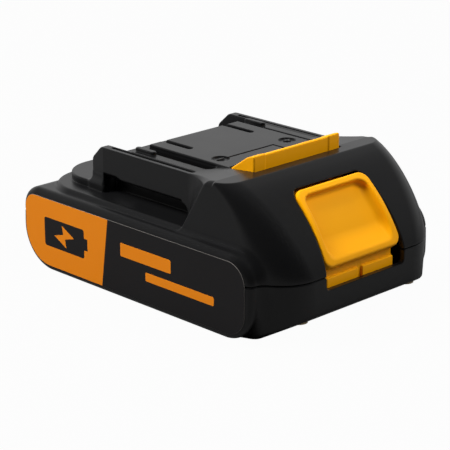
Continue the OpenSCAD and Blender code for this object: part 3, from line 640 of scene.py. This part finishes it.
def mesh_object(name, points, faces):
    """Object made of points and of faces with equal numbers of corners."""
    mesh = bpy.data.meshes.new(name)
    mesh.vertices.add(len(points))
    mesh.vertices.foreach_set("co", np.asarray(points, np.float32).ravel())
    mesh.loops.add(faces.size)
    mesh.loops.foreach_set("vertex_index", faces.ravel().astype(np.int32))
    mesh.polygons.add(len(faces))
    mesh.polygons.foreach_set("loop_start", np.arange(0, faces.size, faces.shape[1], dtype=np.int32))
    mesh.update(calc_edges=True)
    obj = bpy.data.objects.new(name, mesh)
    bpy.context.scene.collection.objects.link(obj)
    return obj


def moulding(name, node, make_field, step, keep, body, slot):
    """Piece with the surface of a field, thinned to a share of its faces, that stands for a CAD node."""
    low, high = box_mm(node)
    g = Grid(low, high, step)
    field = make_field(g)
    points, faces = surface(g, field)
    dense = mesh_object(name + "_dense", points, faces)
    thin = dense.modifiers.new("thin", "DECIMATE")
    thin.ratio = keep
    thinned = dense.evaluated_get(bpy.context.evaluated_depsgraph_get())
    mesh = bpy.data.meshes.new_from_object(thinned)
    bpy.data.objects.remove(dense)
    points = np.empty(len(mesh.vertices) * 3, np.float32)
    mesh.vertices.foreach_get("co", points)
    points = np.clip(settle(g, field, points.reshape(-1, 3).astype(float), 2), low, high)
    normals = gradient(g, field, points)
    normals /= np.maximum(np.linalg.norm(normals, axis=1, keepdims=True), 1e-6)
    mesh.vertices.foreach_set("co", (points * MM).astype(np.float32).ravel())
    mesh.polygons.foreach_set("use_smooth", np.ones(len(mesh.polygons), bool))
    mesh.update()
    mesh.normals_split_custom_set_from_vertices(normals.tolist())
    mesh.name = name
    obj = bpy.data.objects.new(name, mesh)
    bpy.context.scene.collection.objects.link(obj)
    return dress(obj, body, slot, node)


def dress(obj, body, slot, *nodes, look=None):
    """Gives a piece its body, its finish and the CAD nodes that it stands for."""
    obj.data.materials.clear()
    obj.data.materials.append(FINISHES[look or slot])
    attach(obj, body)
    if nodes:
        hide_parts(*nodes)
    return obj


def spring(name, node):
    """Coil spring that stands on the pocket's floor, copied from its CAD node."""
    obj = bpy.data.objects.new(name, frame["nodes"][node].data.copy())
    bpy.context.scene.collection.objects.link(obj)
    dress(obj, "pack", "spring_steel", node)
    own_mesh(obj)


# Labels

LABEL_MARGIN = 1.9
LABEL_CORNERS = 10.6, 7.0, 6.4, 4.4
FILM_T, PRINT_T, BED = 0.2, 0.04, 0.01
# The print stops PRINT_MARGIN short of the film's edge, so that a thin line of the lighter film shows round the
# label as a painted highlight.
FILM_EDGE, PRINT_MARGIN = 0.05, 0.07
CORNER_STEPS = 16
DIVIDER_TOP_X, DIVIDER_LOW_X = -12.55, -16.15
BATTERY_X0, BATTERY_X1 = -41.5, -23.5
BATTERY_Z0, BATTERY_Z1 = 8.2, 17.0
BATTERY_R, CAP_W, CAP_L = 0.8, 3.6, 1.5
BOLT_W, BOLT_H = 9.0, 6.6
BARS = ((-7.5, 13.2, 13.5, 17.2), (3.0, 8.4, 30.5, 11.0))
BARS_R = 0.5


def soft_box(x0, z0, x1, z1, radii):
    """Outline of a box, anticlockwise from its lower left corner, with a radius for each corner."""
    a, b, c, d = radii
    corners = ((x0 + a, z0 + a, a), (x1 - b, z0 + b, b), (x1 - c, z1 - c, c), (x0 + d, z1 - d, d))
    points = []
    for turn, (x, z, r) in enumerate(corners):
        for i in range(CORNER_STEPS + 1):
            angle = math.radians(180 + 90 * turn + 90 * i / CORNER_STEPS)
            points.append((x + r * math.cos(angle), z + r * math.sin(angle)))
    return points


def clipped(points, start, end):
    """The part of an outline to the right of the line from start to end."""
    value = [line(x, z, start, end) for x, z in points]
    result = []
    for i, p in enumerate(points):
        q, a, b = points[i - 1], value[i - 1], value[i]
        if (a < 0) != (b < 0):
            t = a / (a - b)
            result.append((q[0] + t * (p[0] - q[0]), q[1] + t * (p[1] - q[1])))
        if b < 0:
            result.append(p)
    return result


def inset(points, by):
    """An outline that runs anticlockwise, moved in by a small distance."""
    result = []
    for i, p in enumerate(points):
        a, b = points[i - 1], points[(i + 1) % len(points)]
        e, f = (p[0] - a[0], p[1] - a[1]), (b[0] - p[0], b[1] - p[1])
        el, fl = math.hypot(*e) or 1, math.hypot(*f) or 1
        n = (-e[1] / el - f[1] / fl, e[0] / el + f[0] / fl)
        scale = by * 2 / max(n[0] ** 2 + n[1] ** 2, 0.5)
        result.append((p[0] + n[0] * scale, p[1] + n[1] * scale))
    return result


def film(name, outline, side, y0, thickness, look, *nodes):
    """Thin printed or cut sheet on one side of the pack, with a rounded-off edge."""
    soft = min(FILM_EDGE, thickness / 2)
    rings = (
        (outline, y0), (outline, y0 + thickness - soft),
        (inset(outline, soft), y0 + thickness),
    )
    n = len(outline)
    points = [(x * MM, side * y * MM, z * MM) for ring, y in rings for x, z in ring]
    faces = [tuple(range(n))[::-1], tuple(range(2 * n, 3 * n))]
    for k in range(2):
        for i in range(n):
            j = (i + 1) % n
            faces.append((k * n + i, k * n + j, (k + 1) * n + j, (k + 1) * n + i))
    if side > 0:
        faces = [f[::-1] for f in faces]
    mesh = bpy.data.meshes.new(name)
    mesh.from_pydata(points, [], faces)
    mesh.update()
    obj = bpy.data.objects.new(name, mesh)
    bpy.context.scene.collection.objects.link(obj)
    return dress(obj, "pack", "label_film", *nodes, look=look)


def battery_sign():
    """Outline of a battery symbol with its cap."""
    body = soft_box(BATTERY_X0, BATTERY_Z0, BATTERY_X1, BATTERY_Z1, (BATTERY_R,) * 4)
    mid, x1 = (BATTERY_Z0 + BATTERY_Z1) / 2, BATTERY_X1 + CAP_L
    z0, z1 = mid - CAP_W / 2, mid + CAP_W / 2
    cap = [(BATTERY_X1, z0), (x1, z0), (x1, z1), (BATTERY_X1, z1)]
    half = len(body) // 2
    return body[:half] + cap + body[half:]


def bolt_sign():
    """Outline of a charge symbol in the middle of the battery symbol."""
    x, z = (BATTERY_X0 + BATTERY_X1) / 2, (BATTERY_Z0 + BATTERY_Z1) / 2
    corners = (-0.5, -0.08), (0.1, -0.5), (0.04, -0.1), (0.5, 0.08), (-0.1, 0.5), (-0.04, 0.1)
    return [(x + BOLT_W * u, z + BOLT_H * v) for u, v in corners]


def label(side, name):
    """Side label: film of a lighter grey than its print, whose bare edge shows as a painted highlight, with an
    orange and a charcoal field, a battery symbol and plain bars.
    """
    outline = soft_box(BAY_X0 + LABEL_MARGIN, LABEL_MARGIN,
                       BAY_X1 - LABEL_MARGIN, BAY_H - LABEL_MARGIN, LABEL_CORNERS)
    # Base film, in a lighter grey that paints a highlight along the label's edge
    film(name, outline, side, CASE_Y, FILM_T, "label_edge_painted_highlight", name)
    panel = inset(outline, PRINT_MARGIN)
    top, low = (DIVIDER_TOP_X, BAY_H), (DIVIDER_LOW_X, 0)
    field_y = CASE_Y + FILM_T - BED
    sign_y = field_y + PRINT_T - BED
    film(name + "_orange", clipped(panel, top, low), side, field_y, PRINT_T, "label_orange")
    film(name + "_charcoal", clipped(panel, low, top), side, field_y, PRINT_T, "label_film")
    film(name + "_battery", battery_sign(), side, sign_y, PRINT_T, "label_film")
    film(name + "_bolt", bolt_sign(), side, sign_y + PRINT_T - BED, PRINT_T, "label_orange")
    for i, (x0, z0, x1, z1) in enumerate(BARS):
        bar = soft_box(x0, z0, x1, z1, (BARS_R,) * 4)
        film(f"{name}_bar_{i + 1}", bar, side, sign_y, PRINT_T, "label_orange")


# Finishes

# Grains across one patch of the broad, uneven colour and gloss
GRAINS_ACROSS = 40


def mottled(nodes, links, vector, scale, detail):
    """Uneven value from 0 to 1, over patches of one size."""
    texture = nodes.new("ShaderNodeTexNoise")
    texture.inputs["Scale"].default_value = scale
    texture.inputs["Detail"].default_value = detail
    links.new(vector, texture.inputs["Vector"])
    return texture.outputs["Fac"]


def finish(name, colour, accent, rough, spread, grain, depth, metallic=0.0, stretch=(1, 1, 1), shine=0.5):
    """Finish with a colour that drifts to an accent, uneven gloss and a fine relief, in millimetres."""
    material = bpy.data.materials.new(name)
    material.use_nodes = True
    nodes, links = material.node_tree.nodes, material.node_tree.links
    shader = nodes["Principled BSDF"]
    shader.inputs["Metallic"].default_value = metallic
    shader.inputs["Specular IOR Level"].default_value = shine
    place = nodes.new("ShaderNodeTexCoord")
    mapping = nodes.new("ShaderNodeMapping")
    mapping.inputs["Scale"].default_value = stretch
    links.new(place.outputs["Object"], mapping.inputs["Vector"])
    vector = mapping.outputs["Vector"]
    broad = mottled(nodes, links, vector, 1 / (GRAINS_ACROSS * grain * MM), 3)
    fine = mottled(nodes, links, vector, 1 / (grain * MM), 2)
    blend = nodes.new("ShaderNodeMix")
    blend.data_type = "RGBA"
    blend.inputs["A"].default_value = (*colour, 1)
    blend.inputs["B"].default_value = (*accent, 1)
    links.new(broad, blend.inputs["Factor"])
    links.new(blend.outputs["Result"], shader.inputs["Base Color"])
    gloss = nodes.new("ShaderNodeMapRange")
    gloss.inputs["To Min"].default_value = rough - spread
    gloss.inputs["To Max"].default_value = rough + spread
    links.new(broad, gloss.inputs["Value"])
    links.new(gloss.outputs["Result"], shader.inputs["Roughness"])
    bump = nodes.new("ShaderNodeBump")
    bump.inputs["Distance"].default_value = depth * MM
    links.new(fine, bump.inputs["Height"])
    links.new(bump.outputs["Normal"], shader.inputs["Normal"])
    return material


# Colours are linear. Grain is the size of the relief and depth its height, in millimetres.
LOOKS = {
    "shell_plastic": dict(
        colour=(0.0050, 0.0050, 0.0053), accent=(0.0065, 0.0065, 0.0068),
        rough=0.31, spread=0.03, grain=0.35, depth=0.004, shine=0.4),
    "latch_plastic": dict(
        colour=(0.88, 0.365, 0.002), accent=(0.92, 0.390, 0.003),
        rough=0.46, spread=0.04, grain=0.4, depth=0.004, shine=0.25),
    "label_film": dict(
        colour=(0.0085, 0.0078, 0.0082), accent=(0.0108, 0.0100, 0.0104),
        rough=0.45, spread=0.04, grain=0.5, depth=0.005, shine=0.25),
    "label_orange": dict(
        colour=(0.76, 0.215, 0.004), accent=(0.80, 0.235, 0.006),
        rough=0.48, spread=0.04, grain=0.5, depth=0.005, shine=0.25),
    # Base film of the labels: a lighter grey that shows only at their edge, as a painted highlight along it
    "label_edge_painted_highlight": dict(
        colour=(0.09, 0.085, 0.08), accent=(0.13, 0.12, 0.11),
        rough=0.5, spread=0.05, grain=0.4, depth=0.004),
    "spring_steel": dict(
        colour=(0.30, 0.30, 0.31), accent=(0.42, 0.41, 0.40),
        rough=0.42, spread=0.08, grain=0.15, depth=0.004, metallic=1.0),
    "cell_sleeve": dict(
        colour=(0.03, 0.17, 0.36), accent=(0.05, 0.22, 0.42),
        rough=0.35, spread=0.06, grain=0.6, depth=0.01),
    "ring_paper": dict(
        colour=(0.72, 0.70, 0.64), accent=(0.82, 0.80, 0.74),
        rough=0.85, spread=0.06, grain=0.1, depth=0.02),
    "holder_plastic": dict(
        colour=(0.05, 0.05, 0.055), accent=(0.08, 0.08, 0.085),
        rough=0.55, spread=0.06, grain=0.3, depth=0.01),
    "nickel_strip": dict(
        colour=(0.60, 0.58, 0.53), accent=(0.72, 0.70, 0.64),
        rough=0.28, spread=0.08, grain=0.1, depth=0.004, metallic=1.0, stretch=(1, 1, 8)),
    "sheet_paper": dict(
        colour=(0.74, 0.69, 0.56), accent=(0.83, 0.78, 0.66),
        rough=0.85, spread=0.06, grain=0.15, depth=0.02),
    "foam": dict(
        colour=(0.10, 0.11, 0.13), accent=(0.16, 0.17, 0.19),
        rough=0.92, spread=0.05, grain=0.35, depth=0.15),
    "board": dict(
        colour=(0.012, 0.11, 0.045), accent=(0.03, 0.20, 0.08),
        rough=0.38, spread=0.08, grain=0.8, depth=0.02),
    "block_plastic": dict(
        colour=(0.02, 0.02, 0.022), accent=(0.04, 0.04, 0.042),
        rough=0.5, spread=0.06, grain=0.25, depth=0.01),
    "contact_copper": dict(
        colour=(0.72, 0.40, 0.18), accent=(0.80, 0.52, 0.28),
        rough=0.3, spread=0.08, grain=0.12, depth=0.004, metallic=1.0, stretch=(6, 1, 1)),
    "chip_plastic": dict(
        colour=(0.015, 0.015, 0.016), accent=(0.03, 0.03, 0.03),
        rough=0.6, spread=0.06, grain=0.12, depth=0.012),
    "thermistor_bead": dict(
        colour=(0.22, 0.09, 0.03), accent=(0.30, 0.14, 0.05),
        rough=0.4, spread=0.08, grain=0.3, depth=0.02),
    "screw_steel": dict(
        colour=(0.50, 0.38, 0.22), accent=(0.62, 0.50, 0.30),
        rough=0.48, spread=0.08, grain=0.2, depth=0.01, metallic=1.0),
}
FINISHES = {name: finish(name, **look) for name, look in LOOKS.items()}

for part in frame["record"]["subparts"]:
    carried = frame["nodes"][part["node"]]
    carried.data.materials.clear()
    carried.data.materials.append(FINISHES[part["material_slot"]])

moulding("upper_shell", "upper_case", upper_case_field, CASE_STEP, UPPER_KEEP, "pack", "shell_plastic")
moulding("lower_shell", "lower_case", lower_case_field, CASE_STEP, LOWER_KEEP, "pack", "shell_plastic")
moulding("latch", "release_latch", latch_field, LATCH_STEP, LATCH_KEEP, "latch", "latch_plastic")
spring("spring_left", "latch_spring_left")
spring("spring_right", "latch_spring_right")
label(-1, "label_left")
label(1, "label_right")


# Studio: floor of white paper, surroundings that fall off towards the camera, and two soft lamps

# Camera fitted to the photograph: place in metres, angles in radians, lens in millimetres
CAMERA_PLACE = (0.34727, -0.34053, 0.18017)
CAMERA_AZIMUTH = 0.79962
CAMERA_ELEVATION = 0.32665
CAMERA_ROLL = -0.00349
LENS = 140.24
SENSOR = 36.0

# Brightness behind the object and on the camera's side, and the share of it that is left overhead
BEHIND, CAMERA_SIDE, OVERHEAD = 0.70, 0.03, 0.35

# Where the one eases into the other: along the view, and by height
VIEW_SPAN, HEIGHT_SPAN = (-1.0, 0.5), (0.35, 0.8)

# Grey floor, and the share of plain white that the camera sees over it
FLOOR_HALF, FLOOR_GREY, FLOOR_ROUGH = 3.0, 0.14, 0.9
PAPER_SHARE = 0.97

# Point that the lamps face, in metres
LAMP_TARGET = (0, 0, 0.02)


def aim():
    """Camera axes at the photograph's viewing angle."""
    az, el, roll = CAMERA_AZIMUTH, CAMERA_ELEVATION, CAMERA_ROLL
    back = np.array((math.sin(az) * math.cos(el), -math.cos(az) * math.cos(el), math.sin(el)))
    level = np.array((math.cos(az), math.sin(az), 0))
    right = level * math.cos(roll) + np.cross(back, level) * math.sin(roll)
    return right, np.cross(back, right), back


def ease(nodes, links, value, span, ends):
    """Eases from the first to the last of two ends while the value runs over a span."""
    fall = nodes.new("ShaderNodeMapRange")
    fall.interpolation_type = "SMOOTHSTEP"
    fall.inputs["From Min"].default_value, fall.inputs["From Max"].default_value = span
    fall.inputs["To Min"].default_value, fall.inputs["To Max"].default_value = ends
    links.new(value, fall.inputs["Value"])
    return fall.outputs["Result"]


def calculate(nodes, links, operation, a, b):
    """Result of one operation on two values."""
    node = nodes.new("ShaderNodeMath")
    node.operation = operation
    links.new(a, node.inputs[0])
    links.new(b, node.inputs[1])
    return node.outputs["Value"]


def surroundings(nodes, links, direction):
    """Brightness of the studio in a direction: bright behind the object, dim overhead and in front."""
    back = aim()[2]
    facing = nodes.new("ShaderNodeVectorMath")
    facing.operation = "DOT_PRODUCT"
    facing.inputs[1].default_value = (back[0], back[1], 0)
    links.new(direction, facing.inputs[0])
    height = nodes.new("ShaderNodeSeparateXYZ")
    links.new(direction, height.inputs["Vector"])
    around = ease(nodes, links, facing.outputs["Value"], VIEW_SPAN, (BEHIND, CAMERA_SIDE))
    above = ease(nodes, links, height.outputs["Z"], HEIGHT_SPAN, (1.0, OVERHEAD))
    return calculate(nodes, links, "MULTIPLY", around, above)


def sees_backdrop(nodes, links):
    """1 for rays that show the plain backdrop."""
    path = nodes.new("ShaderNodeLightPath")
    camera, through = path.outputs["Is Camera Ray"], path.outputs["Is Transmission Ray"]
    return calculate(nodes, links, "MAXIMUM", camera, through)


def make_world():
    """White backdrop for the camera, and the studio's own brightness for everything else."""
    world = bpy.data.worlds.new("studio")
    bpy.context.scene.world = world
    world.use_nodes = True
    nodes, links = world.node_tree.nodes, world.node_tree.links
    background = nodes["Background"]
    background.inputs["Color"].default_value = (1, 1, 1, 1)
    place = nodes.new("ShaderNodeTexCoord")
    shade = surroundings(nodes, links, place.outputs["Generated"])
    brightest = calculate(nodes, links, "MAXIMUM", shade, sees_backdrop(nodes, links))
    links.new(brightest, background.inputs["Strength"])


def make_floor():
    """Grey floor that shows as white paper to the camera, with a faint shadow left in it."""
    half = FLOOR_HALF
    corners = [(-half, -half, 0), (half, -half, 0), (half, half, 0), (-half, half, 0)]
    mesh = bpy.data.meshes.new("floor")
    mesh.from_pydata(corners, [], [(0, 1, 2, 3)])
    floor = bpy.data.objects.new("floor", mesh)
    bpy.context.scene.collection.objects.link(floor)
    material = bpy.data.materials.new("paper")
    material.use_nodes = True
    nodes, links = material.node_tree.nodes, material.node_tree.links
    shader = nodes["Principled BSDF"]
    shader.inputs["Base Color"].default_value = (FLOOR_GREY, FLOOR_GREY, FLOOR_GREY, 1)
    shader.inputs["Roughness"].default_value = FLOOR_ROUGH
    glow = nodes.new("ShaderNodeEmission")
    mix = nodes.new("ShaderNodeMixShader")
    share = nodes.new("ShaderNodeMath")
    share.operation = "MULTIPLY"
    share.inputs[1].default_value = PAPER_SHARE
    links.new(sees_backdrop(nodes, links), share.inputs[0])
    links.new(share.outputs["Value"], mix.inputs["Fac"])
    links.new(shader.outputs["BSDF"], mix.inputs[1])
    links.new(glow.outputs["Emission"], mix.inputs[2])
    links.new(mix.outputs["Shader"], nodes["Material Output"].inputs["Surface"])
    mesh.materials.append(material)


def lamp(name, place, size, power):
    """Square softbox turned to the object. It leaves no spot in glossy plastic."""
    data = bpy.data.lights.new(name, "AREA")
    data.size = size
    data.energy = power
    obj = bpy.data.objects.new(name, data)
    back = np.subtract(place, LAMP_TARGET)
    back = back / np.linalg.norm(back)
    right = np.cross((0, 0, 1), back)
    right = right / np.linalg.norm(right)
    up = np.cross(back, right)
    obj.matrix_world = Matrix([[right[i], up[i], back[i], place[i]] for i in range(3)] + [[0, 0, 0, 1]])
    obj.visible_glossy = False
    bpy.context.scene.collection.objects.link(obj)


def make_camera():
    """Camera of the photograph."""
    data = bpy.data.cameras.new("camera")
    data.lens = LENS
    data.sensor_width = SENSOR
    data.clip_start = 0.01
    obj = bpy.data.objects.new("camera", data)
    right, up, back = aim()
    obj.matrix_world = Matrix(
        [[right[i], up[i], back[i], CAMERA_PLACE[i]] for i in range(3)] + [[0, 0, 0, 1]])
    bpy.context.scene.collection.objects.link(obj)
    bpy.context.scene.camera = obj


make_world()
make_floor()
lamp("lamp_left", place=(-0.46, -0.50, 0.86), size=0.5, power=19)
lamp("lamp_right", place=(0.52, 0.38, 0.76), size=0.6, power=7.8)
make_camera()
bpy.context.scene.view_settings.view_transform = "Standard"
